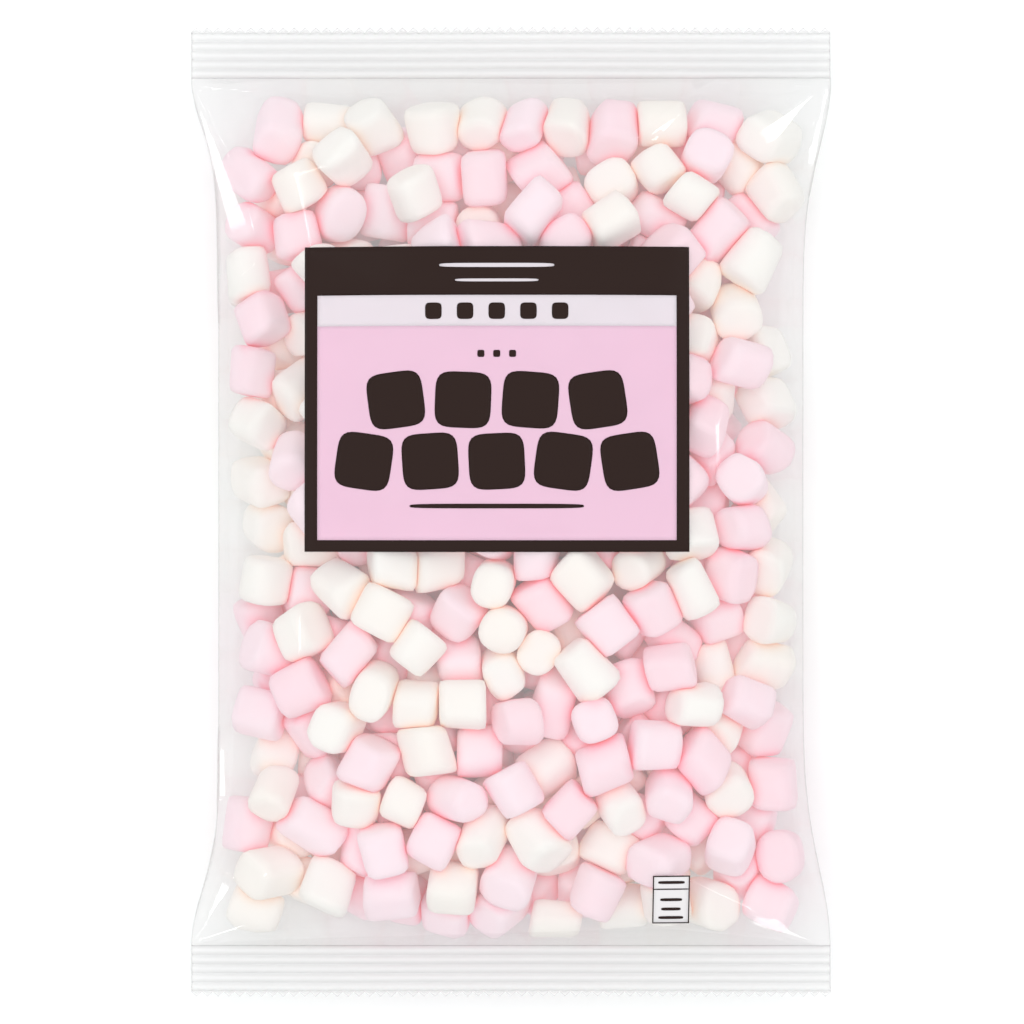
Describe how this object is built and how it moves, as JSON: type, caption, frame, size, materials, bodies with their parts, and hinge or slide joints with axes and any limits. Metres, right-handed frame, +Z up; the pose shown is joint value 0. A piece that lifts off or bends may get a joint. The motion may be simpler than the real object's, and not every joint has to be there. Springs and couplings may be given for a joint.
{
  "type": "bag of mini marshmallows",
  "caption": "Clear sealed pillow bag full of mini pink and white marshmallows, with crimped, saw-toothed end seals and a plain printed panel, lying on its back.",
  "frame": {"origin": "on the table under the middle of the bag", "axes": "+Z up, out of the printed face; +Y along the bag towards the top seal; +X across the bag to the right of its printed face"},
  "size_m": [0.165, 0.25, 0.04],
  "materials": {
    "clear_film": "gloss",
    "crimped_seal": "satin",
    "pink_marshmallow": "matte",
    "white_marshmallow": "matte",
    "dark_print": "gloss",
    "pale_print": "gloss",
    "pink_print": "gloss"
  },
  "bodies": {
    "root": {"bag": "clear_film"}
  },
  "joints": []
}
